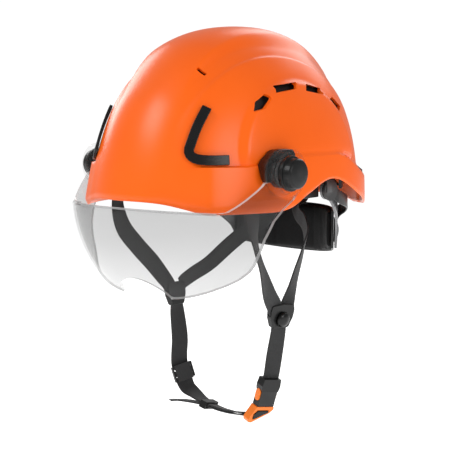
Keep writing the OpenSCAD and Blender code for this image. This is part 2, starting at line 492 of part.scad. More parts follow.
// Children are drawn with +X towards the plug, Y across the width and Z through the thickness
module at_buckle() framed(buckle_top, buckle_down, buckle_face) children();
module slab(x0, x1, w, h) translate([x0, -w / 2, -h / 2]) cube([x1 - x0, w, h]);
module stadium(l, r) { square([l - 2 * r, 2 * r], center = true); for (s = [-1, 1]) translate([s * (l / 2 - r), 0]) circle(r); }
module side_pad(s, y0, y1, l, r) translate([17, s * y0, 0]) rotate([-90 * s, 0, 0]) linear_extrude(y1 - y0) stadium(l, r);
module buckle_socket() color([0.11, 0.11, 0.11]) at_buckle() difference() {
    union() {
        translate([0, 0, -4.9]) linear_extrude(9.8)
            polygon([[0, -9.8], [7, -10.8], [11, -10.2], [13, -9.4], [13, 9.4], [11, 10.2], [7, 10.8], [0, 9.8]]);
        slab(12, 28, 18.8, 9);
    }
    slab(13, 40, 12.4, 4.8);
    slab(-3, 6, 18.5, 2.4);
    for (s = [-1, 1]) side_pad(s, 6.9, 12, 12.4, 3.7);
}
module release_button(s) color("darkorange") at_buckle() side_pad(s, 8.3, 10.6, 12, 3.5);
module buckle_plug() color("darkorange") at_buckle() {
    difference() {
        translate([0, 0, -4.6]) linear_extrude(9.2)
            polygon([[28.4, -10.4], [28.4, 10], [31, 10.6], [35, 6.5], [40, -3.5], [44.6, -12.5], [44.4, -15.4],
                [41.5, -16.4], [36, -14.2], [31, -11.6]]);
        translate([32, -11, 2.6]) linear_extrude(4) polygon([[0, 3], [0, 16], [2.4, 16], [9, 1], [9, -1], [4, -1]]);
    }
    slab(15, 29, 11.6, 4);
}
module plug_grip() color([0.12, 0.12, 0.12]) at_buckle() translate([32.2, -11, 2.8]) linear_extrude(2.6)
    polygon([[0.2, 3.2], [0.2, 15.6], [2, 15.6], [8.4, 0.8], [8.4, -0.8], [4, -0.8]]);

shell();
liner();
vent_mesh();  // vent_mesh_left
mirror([1, 0, 0]) vent_mesh();  // vent_mesh_right
lamp_clip_front();  // lamp_clip_front_left
mirror([1, 0, 0]) lamp_clip_front();  // lamp_clip_front_right
lamp_clip_rear();  // lamp_clip_rear_left
mirror([1, 0, 0]) lamp_clip_rear();  // lamp_clip_rear_right
visor_lens();
visor_bracket();  // visor_bracket_left
mirror([1, 0, 0]) visor_bracket();  // visor_bracket_right
pivot_bolt();  // pivot_bolt_left
mirror([1, 0, 0]) pivot_bolt();  // pivot_bolt_right
friction_washer();  // friction_washer_left
mirror([1, 0, 0]) friction_washer();  // friction_washer_right
visor_knob();  // visor_knob_left
mirror([1, 0, 0]) visor_knob();  // visor_knob_right
crown_strap(0);  // crown_strap_a
mirror([1, 0, 0]) crown_strap(2.6);  // crown_strap_b
crown_anchors();
headband();
sweatband();
hanger_plug();  // hanger_plug_left
mirror([1, 0, 0]) hanger_plug();  // hanger_plug_right
hanger_arm();  // hanger_arm_left
mirror([1, 0, 0]) hanger_arm();  // hanger_arm_right
cradle_link();  // cradle_link_left
mirror([1, 0, 0]) cradle_link();  // cradle_link_right
nape_band();
nape_pad();
ratchet_housing();
ratchet_cover();
ratchet_axle();
ratchet_wheel();
ratchet_pinion();
rack(0);  // rack_left
rack(180);  // rack_right
strap_anchors();
front_strap();  // front_strap_left
front_strap_right();
rear_strap();  // rear_strap_left
rear_strap_right();
divider();  // divider_left
translate(divider_shift) mirror([1, 0, 0]) divider();  // divider_right
divider_button();  // divider_button_left
translate(divider_shift) mirror([1, 0, 0]) divider_button();  // divider_button_right
lower_strap_left();
lower_strap_right();
ladder_lock();
chin_strap();
strap_tail();
keeper();
buckle_socket();
release_button(-1);  // release_button_front
release_button(1);  // release_button_rear
buckle_plug();
plug_grip();
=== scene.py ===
"""Arborist helmet: finished surfaces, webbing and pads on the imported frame.

Metres; front is -Y, wearer's left is +X.
"""
import json
import math
import bpy
import bmesh
import numpy as np
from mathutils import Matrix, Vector

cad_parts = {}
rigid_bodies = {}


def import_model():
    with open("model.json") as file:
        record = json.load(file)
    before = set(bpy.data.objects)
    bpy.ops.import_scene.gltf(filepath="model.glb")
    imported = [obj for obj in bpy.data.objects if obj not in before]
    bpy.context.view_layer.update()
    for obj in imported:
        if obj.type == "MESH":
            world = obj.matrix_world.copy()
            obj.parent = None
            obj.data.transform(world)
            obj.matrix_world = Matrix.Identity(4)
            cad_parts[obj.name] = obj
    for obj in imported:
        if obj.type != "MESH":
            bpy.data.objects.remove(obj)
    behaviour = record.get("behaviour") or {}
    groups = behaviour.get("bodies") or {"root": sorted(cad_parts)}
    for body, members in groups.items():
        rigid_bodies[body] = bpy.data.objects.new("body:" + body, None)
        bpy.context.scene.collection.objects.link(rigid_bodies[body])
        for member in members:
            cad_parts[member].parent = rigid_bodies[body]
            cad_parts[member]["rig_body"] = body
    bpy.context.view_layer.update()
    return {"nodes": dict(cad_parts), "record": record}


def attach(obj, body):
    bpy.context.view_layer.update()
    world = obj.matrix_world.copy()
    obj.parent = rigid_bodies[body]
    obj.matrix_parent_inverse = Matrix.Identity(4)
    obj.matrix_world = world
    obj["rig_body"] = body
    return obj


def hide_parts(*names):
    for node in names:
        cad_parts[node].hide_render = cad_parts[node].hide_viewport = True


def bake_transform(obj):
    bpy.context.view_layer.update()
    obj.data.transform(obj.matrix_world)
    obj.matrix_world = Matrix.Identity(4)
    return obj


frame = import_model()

MM = 0.001
SENSOR, LENS = 36, 89.088            # width of the camera's sensor and its focal length, mm
FLOOR_Z, FLOOR_HALF = -0.42, 6       # height of the floor and half its width
HINGE_Y, HINGE_Z = -0.072, 0.029     # visor hinge
HUB_REACH = 0.0225                   # radius of the lens's clear hub with its bead
SHARP = 0.9                          # angle between faces that makes an edge of the lens, radians
EDGE_ANGLE = 34                      # degrees; a moulded part's sharper edges are eased
WELD = 0.00002                       # points nearer than this are one
BROAD, NARROW, TAPE = 18, 16, 20     # widths of the webbing, mm
BRIM_ROLL, BRIM_HIGH = 1.8, 6.5      # how far the front edge rolls in, and over what height, mm
scene = bpy.context.scene


# ---------- camera and light ----------
def place(name, data):
    thing = bpy.data.objects.new(name, data)
    scene.collection.objects.link(thing)
    return thing


def aim(thing, spot, target):
    thing.location = spot
    thing.rotation_mode = "QUATERNION"
    thing.rotation_quaternion = (Vector(target) - Vector(spot)).to_track_quat("-Z", "Y")


AZIMUTH, ELEVATION, DISTANCE = math.radians(41.216), math.radians(6.374), 1.0828
LOOK_AT = Vector((0, -0.01862, -0.02887))
back = Vector((math.sin(AZIMUTH) * math.cos(ELEVATION), -math.cos(AZIMUTH) * math.cos(ELEVATION),
               math.sin(ELEVATION)))
camera = place("camera", bpy.data.cameras.new("camera"))
camera.data.sensor_width = SENSOR
camera.data.lens = LENS
camera.data.clip_start = 0.02
aim(camera, LOOK_AT + back * DISTANCE, LOOK_AT)
scene.camera = camera


def softbox(name, spot, target, width, height, watts):
    light = bpy.data.lights.new(name, "AREA")
    light.shape = "RECTANGLE"
    light.size, light.size_y = width, height
    light.energy = watts
    aim(place(name, light), spot, target)


softbox("key_softbox", (-0.9, -2.0, 1.9), (0, 0, 0.02), 1.1, 0.9, 28)
softbox("side_softbox", (2.2, -0.5, 0.9), (0, 0, 0), 1.0, 1.0, 16)
softbox("left_softbox", (-2.1, 0.5, 0.9), (0, 0, 0), 0.7, 1.2, 12)
softbox("front_fill", (0.7, -2.2, -0.1), (0, 0, -0.08), 1.4, 1.0, 3)
softbox("back_softbox", (-0.4, 1.9, 1.3), (0, 0, 0), 1.8, 1.0, 14)

# The world is white to the camera and dimmer as a light
world = bpy.data.worlds.new("studio")
scene.world = world
world.use_nodes = True
glow = world.node_tree.nodes["Background"]
glow.inputs["Color"].default_value = (1, 1, 1, 1)
ray = world.node_tree.nodes.new("ShaderNodeLightPath")
level = world.node_tree.nodes.new("ShaderNodeMapRange")
level.inputs["To Min"].default_value, level.inputs["To Max"].default_value = 0.38, 1.04
world.node_tree.links.new(ray.outputs["Is Camera Ray"], level.inputs["Value"])
world.node_tree.links.new(level.outputs["Result"], glow.inputs["Strength"])
scene.view_settings.view_transform = "Standard"


# ---------- materials ----------
class Value:
    """A number that varies over a surface; arithmetic on it adds Math nodes."""

    def __init__(self, paint, socket):
        self.paint, self.socket = paint, socket

    def math(self, operation, *others, swap=False):
        values = [self, *others]
        if swap:
            values.reverse()
        return self.paint.node("Math", {"operation": operation}, dict(enumerate(values)))

    def __add__(self, other):
        return self.math("ADD", other)

    __radd__ = __add__

    def __sub__(self, other):
        return self.math("SUBTRACT", other)

    def __rsub__(self, other):
        return self.math("SUBTRACT", other, swap=True)

    def __mul__(self, other):
        return self.math("MULTIPLY", other)

    __rmul__ = __mul__

    def power(self, other):
        return self.math("POWER", other)

    def sine(self):
        return self.math("SINE")

    def least(self, other):
        return self.math("MINIMUM", other)

    def ramp(self, low, high):
        ends = {"Value": self, "From Min": low, "From Max": high}
        return self.paint.node("MapRange", {"interpolation_type": "SMOOTHSTEP"}, ends)


class Paint:
    """One material: a Principled shader and the nodes that feed it."""

    def __init__(self, name, colour, roughness, **sockets):
        self.material = bpy.data.materials.new(name)
        self.material.use_nodes = True
        self.tree = self.material.node_tree
        self.shader = self.tree.nodes["Principled BSDF"]
        opaque = tuple(colour) + (1,)
        self.set("Base Color", opaque)
        self.set("Roughness", roughness)
        for key, value in sockets.items():
            self.set(key.replace("_", " ").title().replace("Ior", "IOR"), value)
        self.material.diffuse_color = opaque

    def set(self, name, value):
        if isinstance(value, Value):
            self.tree.links.new(value.socket, self.shader.inputs[name])
        else:
            self.shader.inputs[name].default_value = value

    def node(self, kind, settings, sockets, output=0):
        made = self.tree.nodes.new("ShaderNode" + kind)
        for key, value in settings.items():
            setattr(made, key, value)
        for key, value in sockets.items():
            if isinstance(value, Value):
                self.tree.links.new(value.socket, made.inputs[key])
            else:
                made.inputs[key].default_value = value
        return Value(self, made.outputs[output])

    def here(self, stretch=(1, 1, 1)):
        """Object coordinates in millimetres, stretched per axis."""
        spot = self.node("TexCoord", {}, {}, "Object")
        return self.node("Mapping", {}, {"Vector": spot, "Scale": tuple(1000 * s for s in stretch)})

    def cloth_place(self, name="weave"):
        """(along, across) in millimetres from the piece's own UV map."""
        spot = self.node("UVMap", {"uv_map": name}, {})
        split = self.tree.nodes.new("ShaderNodeSeparateXYZ")
        self.tree.links.new(spot.socket, split.inputs[0])
        return Value(self, split.outputs[0]) * 1000, Value(self, split.outputs[1]) * 1000

    def noise(self, size, detail=2, stretch=(1, 1, 1), rough=0.5):
        sockets = {"Vector": self.here(stretch), "Scale": 1 / size, "Detail": detail, "Roughness": rough}
        return self.node("TexNoise", {}, sockets)

    def cells(self, size):
        return self.node("TexVoronoi", {}, {"Vector": self.here(), "Scale": 1 / size}, "Distance")

    def tint(self, factor, low, high):
        """Colour from low to high as factor goes from 0 to 1."""
        mixed = self.node("Mix", {"data_type": "RGBA"}, {0: factor}, 2)
        node = mixed.socket.node
        node.inputs[6].default_value = tuple(low) + (1,)
        node.inputs[7].default_value = tuple(high) + (1,)
        return mixed

    def bump(self, height, distance, strength=1.0):
        return self.node("Bump", {}, {"Height": height, "Distance": distance * MM, "Strength": strength})


def shaded(colour, gain):
    return tuple(min(c * gain, 1) for c in colour)


def moulded(name, colour, roughness, grain=0.35, depth=0.03, **sockets):
    """Moulded plastic: fine spark-eroded grain over broad, faint flow marks."""
    paint = Paint(name, colour, roughness, **sockets)
    flow = paint.noise(14, 3)
    fine = paint.noise(grain, 2)
    paint.set("Base Color", paint.tint(flow, shaded(colour, 0.86), shaded(colour, 1.16)))
    paint.set("Roughness", flow * 0.12 + fine * 0.06 + (roughness - 0.09))
    paint.set("Normal", paint.bump(fine, depth))
    return paint.material


def shell_finish():
    """Orange satin shell: broad clouding, slight orange peel and a trace of dust."""
    orange = (1.0, 0.132, 0.004)
    paint = Paint("orange_shell", orange, 0.3, ior=1.36)
    cloud = paint.noise(46, 2)
    peel = paint.noise(1.5, 1)
    dust = paint.noise(3.4, 5, rough=0.7)
    paint.set("Base Color", paint.tint(cloud, shaded(orange, 0.94), (1.0, 0.14, 0.005)))
    paint.set("Roughness", dust * 0.08 + cloud * 0.06 + 0.24)
    paint.set("Normal", paint.bump(peel, 0.012))
    return paint.material


def foam_finish():
    """Expanded foam, with its beads showing."""
    paint = Paint("liner_foam", (0.02, 0.02, 0.022), 0.8)
    beads = paint.cells(2.6)
    paint.set("Base Color", paint.tint(beads.ramp(0.1, 0.8), (0.026, 0.026, 0.028), (0.012, 0.012, 0.013)))
    paint.set("Normal", paint.bump(beads, 0.25, 0.8))
    return paint.material


def webbing_finish():
    """Plain-woven webbing: ribs across and yarns along."""
    paint = Paint("woven_webbing", (0.02, 0.02, 0.0205), 0.72, sheen_weight=0.12, sheen_roughness=0.5, ior=1.4)
    along, across = paint.cloth_place()
    ribs = (along * (2 * math.pi / 1.15)).sine()
    yarns = (across * (2 * math.pi / 0.9)).sine()
    weave = ribs * yarns
    fuzz = paint.noise(0.5, 3)
    height = weave * 0.35 + ribs * 0.45 + fuzz * 0.4
    # Colour follows the height: painted shade in the weave's hollows between the yarns with lighter ribs, and a
    # random tone from the fuzz
    paint.set("Base Color", paint.tint(height.ramp(-0.6, 0.9), (0.007, 0.007, 0.0073), (0.032, 0.032, 0.033)))
    paint.set("Roughness", fuzz * 0.2 + 0.6)
    paint.set("Normal", paint.bump(height, 0.09))
    return paint.material


def knit_finish():
    """Fine knitted cover over foam."""
    paint = Paint("pad_cover", (0.005, 0.005, 0.0052), 0.85, sheen_weight=0.05, sheen_roughness=0.6, ior=1.3)
    knit = paint.cells(1.3)
    soft = paint.noise(9, 3)
    paint.set("Base Color", paint.tint(knit.ramp(0.05, 0.7), (0.007, 0.007, 0.0073), (0.0025, 0.0025, 0.0026)))
    paint.set("Roughness", soft * 0.15 + 0.75)
    paint.set("Normal", paint.bump(knit + soft * 0.6, 0.18))
    return paint.material


def lens_finish():
    """Clear sheet with a faint grey tint; a painted reflection makes it brighter and less clear where it is seen
    edge on, and a painted highlight lights its narrow edge faces.
    """
    paint = Paint("clear_lens", (0.035, 0.036, 0.036), 0.05, ior=1.5)
    slant = paint.node("LayerWeight", {}, {"Blend": 0.35}, "Facing")
    haze = paint.noise(30, 3)
    rim, hub = paint.cloth_place("rim")
    # Painted reflection and highlight: the colour lightens and the alpha rises where the sheet is seen edge on and
    # on its narrow edge faces
    edge = (slant.power(6) * 0.8 + rim * 0.9).least(1)
    paint.set("Roughness", haze * 0.03 + 0.03)
    paint.set("Base Color", paint.tint(edge, (0.02, 0.0205, 0.0205), (0.75, 0.76, 0.76)))
    paint.set("Alpha", (edge * 0.5 + haze * 0.01 + 0.24) * (1 - hub * 0.75))
    return paint.material


def steel_finish():
    """Turned steel with rings round the hinge's axis."""
    paint = Paint("turned_steel", (0.55, 0.55, 0.56), 0.28, metallic=1.0)
    rings = paint.noise(0.6, 2, (1, 0.15, 0.15))
    paint.set("Roughness", rings * 0.18 + 0.2)
    paint.set("Normal", paint.bump(rings, 0.01))
    return paint.material


BLACK, JET = (0.008, 0.008, 0.0082), (0.004, 0.004, 0.0041)
webbing = webbing_finish()
finish = {
    "shell_plastic": shell_finish(),
    "liner_foam": foam_finish(),
    "vent_mesh": moulded("vent_grid", (0.008, 0.008, 0.009), 0.6, 1.2, 0.4),
    "clip_plastic": moulded("clip_nylon", JET, 0.26, ior=1.4),
    "visor_lens": lens_finish(),
    "bracket_plastic": moulded("bracket_nylon", JET, 0.28, ior=1.4),
    "steel": steel_finish(),
    "rubber_washer": moulded("washer_rubber", (0.012, 0.012, 0.012), 0.7, 0.5, 0.05),
    "knob_plastic": moulded("knob_nylon", JET, 0.34, 0.45, 0.04, ior=1.38),
    "cradle_strap": webbing,
    "suspension_plastic": moulded("suspension_plastic", (0.03, 0.03, 0.031), 0.42),
    "sweat_foam": knit_finish(),
    "smoke_plastic": moulded("smoke_plastic", (0.13, 0.13, 0.135), 0.22, 0.6, 0.02, coat_weight=0.4),
    "cradle_plastic": moulded("cradle_plastic", BLACK, 0.38),
    "gear_plastic": moulded("gear_acetal", (0.6, 0.6, 0.57), 0.35),
    "webbing": webbing,
    "buckle_black": moulded("buckle_acetal", (0.006, 0.006, 0.0061), 0.3, 0.4, 0.03, ior=1.4),
    "buckle_orange": moulded("orange_acetal", (0.9, 0.19, 0.008), 0.34, 0.4, 0.025),
}
slot_of = {part["node"]: part["material_slot"] for part in frame["record"]["subparts"]}


# ---------- making pieces ----------
def piece_from(name, bm, slot, body, replaced=(), angle=32):
    """Turns a bmesh into a piece at the origin that rides on a body."""
    mesh = bpy.data.meshes.new(name)
    bm.to_mesh(mesh)
    bm.free()
    mesh.materials.append(finish[slot])
    made = place(name, mesh)
    mesh.shade_smooth()
    mesh.set_sharp_from_angle(angle=math.radians(angle))
    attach(made, body)
    if replaced:
        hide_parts(*replaced)
    return made


def settle(thing):
    """Applies a piece's modifiers to its mesh."""
    graph = bpy.context.evaluated_depsgraph_get()
    mesh = bpy.data.meshes.new_from_object(thing.evaluated_get(graph))
    thing.modifiers.clear()
    thing.data = mesh


def merged_copy(node):
    """A node's CAD mesh with its loose triangles joined."""
    bm = bmesh.new()
    bm.from_mesh(frame["nodes"][node].data)
    bmesh.ops.remove_doubles(bm, verts=bm.verts, dist=WELD)
    return bm


def refined(node, radius):
    """A moulded part on its CAD shape, with smooth shading and its sharp edges eased to a radius in millimetres."""
    bm = merged_copy(node)
    bmesh.ops.dissolve_limit(bm, angle_limit=math.radians(0.6), verts=bm.verts, edges=bm.edges)
    part = piece_from(node + "_part", bm, slot_of[node], frame["nodes"][node]["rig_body"], [node], EDGE_ANGLE)
    if radius:
        ease = part.modifiers.new("eased_edges", "BEVEL")
        ease.width = radius * MM
        ease.segments = 2
        ease.limit_method = "ANGLE"
        ease.angle_limit = math.radians(EDGE_ANGLE)
        ease.harden_normals = True
    return part


def mark_rim(part):
    """Marks the lens's narrow edge faces, which get a painted highlight (weaker at the hubs), and its clear hubs in
    the map "rim".
    """
    bm = bmesh.new()
    bm.from_mesh(part.data)
    sharp = {v for e in bm.edges if len(e.link_faces) == 2 and e.calc_face_angle() > SHARP for v in e.verts}
    rim = bm.loops.layers.uv.new("rim")
    for face in bm.faces:
        for loop in face.loops:
            at_hub = math.hypot(loop.vert.co.y - HINGE_Y, loop.vert.co.z - HINGE_Z) < HUB_REACH
            narrow = MM if all(v in sharp for v in face.verts) else 0
            loop[rim].uv = (narrow * 0.15, MM) if at_hub else (narrow, 0)
    bm.to_mesh(part.data)
    bm.free()


def follow_plug(part):
    """Applies the modifiers of the chin strap, its tail or its keeper, frees the piece from its body and bakes its
    place into its mesh.
    """
    settle(part)
    part.parent = None
    del part["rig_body"]
    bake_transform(part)


# ---------- shell ----------
# The dome's half width, front and rear lengths and height in millimetres, and the powers of its plan and its rise
HALF_W, FRONT, REAR, HIGH, PLAN, RISE = 103.7, 152.4, 126.1, 157.0, 2.153, 2.266
WALL = 3.0


def smooth(a, b, x):
    """0 before a, 1 after b, and an even curve between."""
    u = np.clip((x - a) / (b - a), 0, 1)
    return u * u * (3 - 2 * u)


def mix(a, b, u):
    """a where u is 0 and b where it is 1."""
    return a + (b - a) * u


def power(x, p):
    return np.power(np.maximum(x, 0), p)


def dome(t, z):
    """Point on the plain dome at turn t and height z, and its outward normal."""
    c, s = np.cos(t), np.sin(t)
    length = np.where(s < 0, FRONT, REAR)
    r = (np.abs(c / HALF_W) ** PLAN + np.abs(s / length) ** PLAN) ** (-1 / PLAN)
    r = r * power(1 - power(np.maximum(z, 0) / HIGH, RISE), 1 / RISE)
    p = np.stack([r * c, r * s, z], -1)
    length = np.where(p[..., 1] < 0, FRONT, REAR)
    ax, ay = np.abs(p[..., 0]) / HALF_W, np.abs(p[..., 1]) / length
    f = power(ax ** PLAN + ay ** PLAN, RISE / PLAN - 1)
    n = np.stack([np.sign(p[..., 0]) * f * ax ** (PLAN - 1) / HALF_W,
                  np.sign(p[..., 1]) * f * ay ** (PLAN - 1) / length,
                  power(z / HIGH, RISE - 1) / HIGH], -1)
    return p, n / np.linalg.norm(n, axis=-1, keepdims=True)


def rim_height(t):
    """Height of the shell's lower edge: up at the brow, arched over the ear, down and up again behind."""
    s = np.sin(t)
    return (-6 + 10 * smooth(0.86, 1, -s) + 26 * np.exp(-((s - 0.05) / 0.42) ** 2) * smooth(-0.62, -0.3, s)
            - 6 * smooth(0.55, 0.8, s) + 6 * smooth(0.9, 1, s))


def ledge_height(t):
    """Height of the step above the skirt."""
    s = np.sin(t)
    return mix(34, 42, smooth(-0.75, -0.3, s)) - 12 * smooth(0.2, 0.75, s)


def relief(p, t):
    """Height of the crest, side panel, ear bulge, ledge and flare above the plain dome."""
    x, y, z = np.abs(p[..., 0]), p[..., 1], p[..., 2]
    s = np.sin(t)
    rear = smooth(0, 0.6, s)
    ear = np.hypot((y + 18) * np.where(y < -18, 0.94, 1), z - 37)
    panel = np.hypot(y + 22, z - 6)
    slope = mix(6, 20, smooth(-110, 20, y))
    crest = 5 * (1 - smooth(36, 36 + slope, x)) * smooth(-122, -72, y) * (1 - smooth(78, 82, y)) * smooth(60, 100, z)
    side = 1.8 * (1 - smooth(123.5, 126.5, panel)) * smooth(40, 56, x)
    bulge = 4.5 * (1 - smooth(65.8, 73.6, ear)) * smooth(30, 60, x) * smooth(20, 50, z)
    above = z - ledge_height(t)
    ledge = (4.5 + 3 * rear) * (1 - smooth(-0.8 - 13 * smooth(0.15, 0.7, s), 0.8, above)) * smooth(-0.93, -0.86, s)
    flare = (mix(3.5, 8, smooth(0.5, 0.95, -s)) - 2.7 * rear) * power(np.clip(1 - z / 85, 0, 1), 2)
    return crest + side + np.maximum(bulge * smooth(-1, 1, above), 0) + ledge + flare


def skin(t, z, lift):
    """Points on the outer face, moved out by lift."""
    p, n = dome(t, z)
    return p + n * (relief(p, t) + lift)[..., None]


def grid_of(columns, rows):
    """A flat grid whose vertices are handed back with their column and row."""
    bm = bmesh.new()
    bmesh.ops.create_grid(bm, x_segments=columns, y_segments=rows, size=1)
    bm.verts.ensure_lookup_table()
    co = np.array([v.co for v in bm.verts])
    return bm, np.rint((co[:, 0] + 1) / 2 * columns).astype(int), np.rint((co[:, 1] + 1) / 2 * rows).astype(int)


def set_points(bm, points):
    """Moves each vertex to its own point."""
    for vertex, point in zip(bm.verts, points):
        vertex.co = point


def turn_out(bm):
    """Faces all one way, pointing away from the middle of the head."""
    centre = Vector((0, 0, 0.02))
    bmesh.ops.recalc_face_normals(bm, faces=bm.faces)
    score = sum(f.normal.dot(f.calc_center_median() - centre) * f.calc_area() for f in bm.faces)
    if score < 0:
        bmesh.ops.reverse_faces(bm, faces=bm.faces)


def outer_skin():
    """The shell's outer face, with rows kept on both sides of the ledge and a front edge rolled in a little."""
    columns, low_rows, high_rows = 352, 22, 100
    rows = low_rows + high_rows
    bm, column, row = grid_of(columns, rows)
    t = column / columns * 2 * math.pi
    low, ledge = rim_height(t), ledge_height(t)
    share = np.clip(row / low_rows, 0, 1)
    z_low = mix(low, ledge - 0.8, share)
    w0 = np.arcsin(((ledge + 0.8) / HIGH) ** (RISE / 2))
    k = np.clip((row - low_rows - 1) / (high_rows - 1), 0, 1)
    z_high = HIGH * np.sin(mix(w0, math.pi / 2, k ** 0.92)) ** (2 / RISE)
    z = np.where(row <= low_rows, z_low, z_high)
    lift = -1.1 * (row == 0) - 0.25 * (row == 1)
    z = z + np.where(row == 1, (low + 0.7 - z), 0)
    lift = lift - BRIM_ROLL * smooth(0.45, 0.8, -np.sin(t)) * np.clip(1 - (z - low) / BRIM_HIGH, 0, 1) ** 1.5
    set_points(bm, skin(t, z, lift) * MM)
    bmesh.ops.remove_doubles(bm, verts=bm.verts, dist=WELD)
    turn_out(bm)
    return bm


# Side vents as (y, z) outlines; slots as two ends and a width
SIDE_VENTS = [
    [(-77, 81.6), (-71, 90), (-59.6, 97.4), (-56, 93.2), (-66.4, 84.2)],
    [(-50, 98), (-46.6, 104.6), (-18.6, 108.4), (-23.4, 101.8)],
    [(-11.4, 100.2), (-7.6, 106.6), (20.6, 103), (13.8, 96.8)],
    [(30.6, 92.6), (38.4, 95), (53.6, 85.8), (44.6, 80.6)],
]
SLOTS = [
    ((37.4, -98.8, 119.6), (45.4, -96, 114.4), 3.2),
    ((6, 93, 104), (19, 92, 103), 3.4),
    ((26, 93, 104), (39, 92, 103), 3.4),
]


def prism(bm, points, depth):
    """A closed solid from an outline pushed along depth, its upright edges rounded."""
    solid = bmesh.new()
    face = solid.faces.new([solid.verts.new(p) for p in points])
    bmesh.ops.bevel(solid, geom=list(face.verts), offset=0.0009, segments=3, profile=0.5, affect="VERTICES",
                    material=-1)
    pushed = bmesh.ops.extrude_face_region(solid, geom=solid.faces[:], use_keep_orig=True)
    bmesh.ops.translate(solid, verts=[g for g in pushed["geom"] if isinstance(g, bmesh.types.BMVert)], vec=depth)
    bmesh.ops.recalc_face_normals(solid, faces=solid.faces)
    mesh = bpy.data.meshes.new("prism")
    solid.to_mesh(mesh)
    solid.free()
    bm.from_mesh(mesh)
    bpy.data.meshes.remove(mesh)


def vent_cutters():
    """One object holding the solids that cut the vents."""
    bm = bmesh.new()
    for side in (1, -1):
        for outline in SIDE_VENTS:
            prism(bm, [Vector((side * 40, y, z)) * MM for y, z in outline], Vector((side * 80, 0, 0)) * MM)
        for a, b, width in SLOTS:
            a, b = (Vector((side * p[0], p[1], p[2])) for p in (a, b))
            p = (a + b) / 2
            length = FRONT if p.y < 0 else REAR
            ax, ay = abs(p.x) / HALF_W, abs(p.y) / length
            f = (ax ** PLAN + ay ** PLAN) ** (RISE / PLAN - 1)
            n = Vector((math.copysign(f * ax ** (PLAN - 1) / HALF_W, p.x),
                        math.copysign(f * ay ** (PLAN - 1) / length, p.y),
                        (p.z / HIGH) ** (RISE - 1) / HIGH)).normalized()
            across = n.cross(b - a).normalized() * width / 2
            prism(bm, [(q + n * 8) * MM for q in (a + across, b + across, b - across, a - across)], n * -0.019)
    mesh = bpy.data.meshes.new("cutters")
    bm.to_mesh(mesh)
    bm.free()
    return place("cutters", mesh)


shell = piece_from("shell_moulding", outer_skin(), "shell_plastic", "helmet", ["shell"], 50)
wall = shell.modifiers.new("wall", "SOLIDIFY")
wall.thickness, wall.offset, wall.use_even_offset = WALL * MM, -1, False
cutters = vent_cutters()
cut = shell.modifiers.new("vents", "BOOLEAN")
cut.operation, cut.solver, cut.object = "DIFFERENCE", "EXACT", cutters
settle(shell)
bpy.data.objects.remove(cutters)
shell.data.shade_smooth()
shell.data.set_sharp_from_angle(angle=math.radians(50))


# ---------- webbing ----------
def catmull(points, cuts):
    """A smooth line through the points, with a number of cuts to each span."""
    p = np.array(points, float)
    ends = np.vstack([p[:1], p, p[-1:]])
    out = []
    for i in range(len(p) - 1):
        a, b, c, d = ends[i:i + 4]
        for u in np.arange(cuts) / cuts:
            out.append(0.5 * (2 * b + (c - a) * u + (2 * a - 5 * b + 4 * c - d) * u * u
                              + (3 * b - a - 3 * c + d) * u ** 3))
    out.append(p[-1])
    return np.array(out)


def unit(v):
    return v / np.linalg.norm(v, axis=-1, keepdims=True)


def strap(name, node, path, faces, width, thick=1.4, stands_for=True):
    """A woven strap along path, facing the given directions, with its own along-and-across UV map."""
    cuts, across = 10, 8
    line = catmull(path, cuts)
    face = unit(catmull(faces, cuts))
    along = unit(np.gradient(line, axis=0))
    side = unit(np.cross(face, along))
    run = np.concatenate([[0], np.cumsum(np.linalg.norm(np.diff(line, axis=0), axis=1))])
    bm, column, row = grid_of(len(line) - 1, across)
    offset = (row / across - 0.5) * width
    set_points(bm, (line[column] + side[column] * offset[:, None]) * MM)
    layer = bm.loops.layers.uv.new("weave")
    for f in bm.faces:
        for loop in f.loops:
            i = loop.vert.index
            loop[layer].uv = (run[column[i]] * MM, offset[i] * MM)
    slot = slot_of[node]
    made = piece_from(name, bm, slot, frame["nodes"][node]["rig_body"], [node] if stands_for else [], 60)
    body = made.modifiers.new("thickness", "SOLIDIFY")
    body.thickness, body.offset = thick * MM, 0
    rounded = made.modifiers.new("soft_edges", "BEVEL")
    rounded.width, rounded.segments, rounded.limit_method = 0.4 * MM, 2, "ANGLE"
    return made


def turned(angles):
    """Level directions at these angles from the wearer's left, in degrees."""
    return [(math.cos(math.radians(a)), math.sin(math.radians(a)), 0) for a in angles]


strap("front_strap_left_webbing", "front_strap_left",
      [(81.5, -76, 22), (82, -76.5, 5), (81.6, -75.5, -10), (79, -67, -37), (74.6, -54, -58), (69, -36, -86),
      (66.4, -25.4, -98.6), (65.9, -21.6, -104)],
      turned([-16, -14, -6, 30, 34, 2, -9, -9]), BROAD)
strap("front_strap_right_webbing", "front_strap_right",
      [(-81.5, -76, 22), (-82.2, -80, 5), (-82.4, -83.4, -10), (-80.6, -77.6, -32), (-77.4, -62.6, -51),
      (-73.6, -46, -69), (-68.8, -36, -83.4), (-65.4, -31, -91.6), (-65, -28.8, -96)],
      turned([196, 194, 190, 176, 172, 172, 182, 189, 189]), BROAD)
strap("rear_strap_left_webbing", "rear_strap_left",
      [(9, 117, 16), (9, 108, 6), (8, 97, -6), (7, 88, -16), (14, 79, -24), (30, 68, -31), (44, 54, -42),
      (54, 35, -56), (61, 16, -74), (66, 3, -88), (67.5, -4.4, -98), (66.5, -7, -104)],
      [(0, -0.7, 0.7), (0, -0.8, 0.6), (0, -1, 0.4), (-0.1, -1, 0.1), (-0.4, -0.9, 0), (-0.5, -0.85, 0),
      (-0.5, -0.87, 0), (-0.755, -0.656, 0), (-0.91, -0.41, 0), (-0.99, -0.14, 0), (-0.988, 0.156, 0),
      (-0.988, 0.156, 0)], NARROW)
